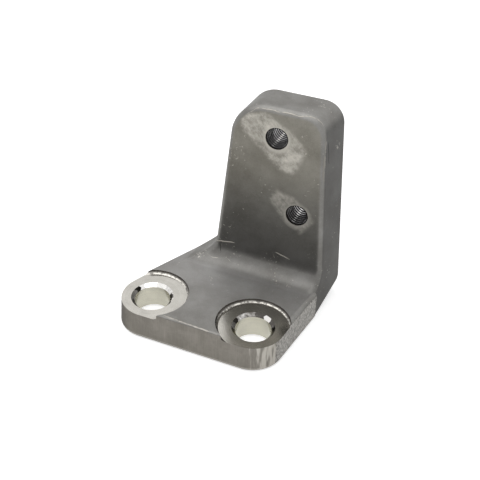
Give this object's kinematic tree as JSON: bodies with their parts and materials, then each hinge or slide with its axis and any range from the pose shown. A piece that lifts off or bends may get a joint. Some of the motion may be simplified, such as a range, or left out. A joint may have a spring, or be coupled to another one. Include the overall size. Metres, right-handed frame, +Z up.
{
  "type": "air compressor mounting bracket",
  "caption": "Forged steel right-angle bracket that holds an air compressor to an engine: bolted foot with machined seats, leaning upright with threaded holes.",
  "frame": {"origin": "midway between the two base bolt holes, on the flat bottom mounting face", "axes": "+X along the line of the base holes to the right, as seen from the front edge; +Y back to the upright; +Z up, square to the mounting face"},
  "size_m": [0.0793, 0.0702, 0.0902],
  "materials": {
    "forged_steel": "dark grey matt forging skin, bright machined seats, bores and chamfers"
  },
  "bodies": {
    "root": {"bracket": "forged_steel"}
  },
  "joints": []
}
